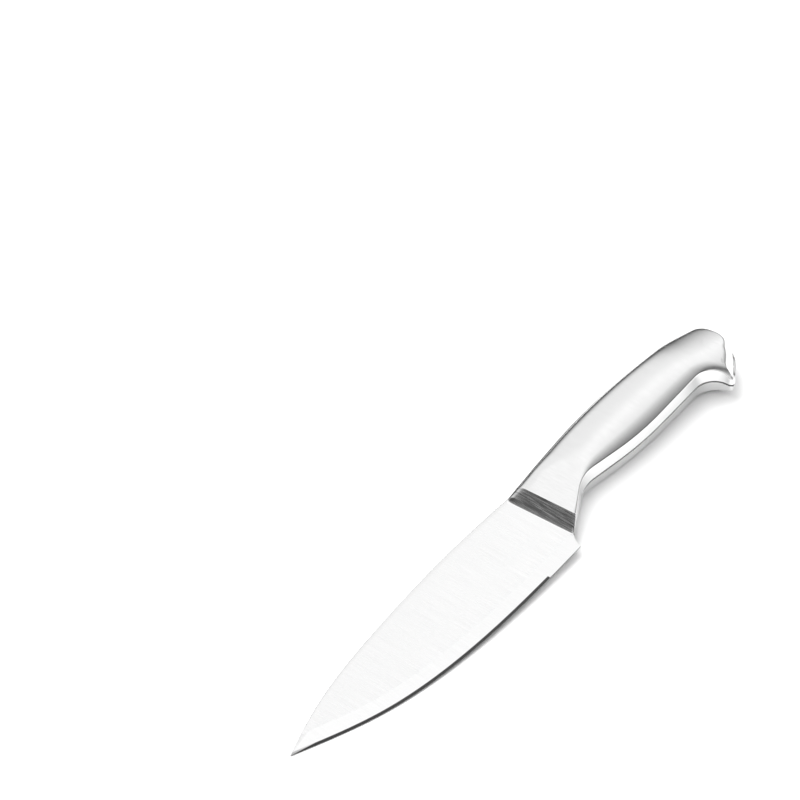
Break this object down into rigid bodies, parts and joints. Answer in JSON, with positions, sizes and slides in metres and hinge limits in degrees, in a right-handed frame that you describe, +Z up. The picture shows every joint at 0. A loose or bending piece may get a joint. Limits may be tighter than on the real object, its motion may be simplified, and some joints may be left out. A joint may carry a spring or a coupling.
{
  "type": "chef knife",
  "caption": "All-steel chef knife lying on its side: ground blade, wedge bolster and a hollow welded handle with a hooked butt.",
  "frame": {"origin": "on the surface the knife lies on, under the middle of its bounding box", "axes": "+X along the knife from tip to butt, +Y across it from cutting edge to back, +Z up"},
  "size_m": [0.2784, 0.0402, 0.0185],
  "materials": {
    "blade": "satin, ground edge brushed across",
    "bolster": "brushed across the knife",
    "handle": "polished with a fine brushed grain",
    "weld": "ground flush and polished"
  },
  "bodies": {
    "root": {"blade": "blade", "bolster": "bolster", "handle_shell_right": "handle", "handle_shell_left": "handle", "spine_weld": "weld", "belly_weld": "weld", "collar_weld": "handle", "blade_welds": "blade"}
  },
  "joints": []
}
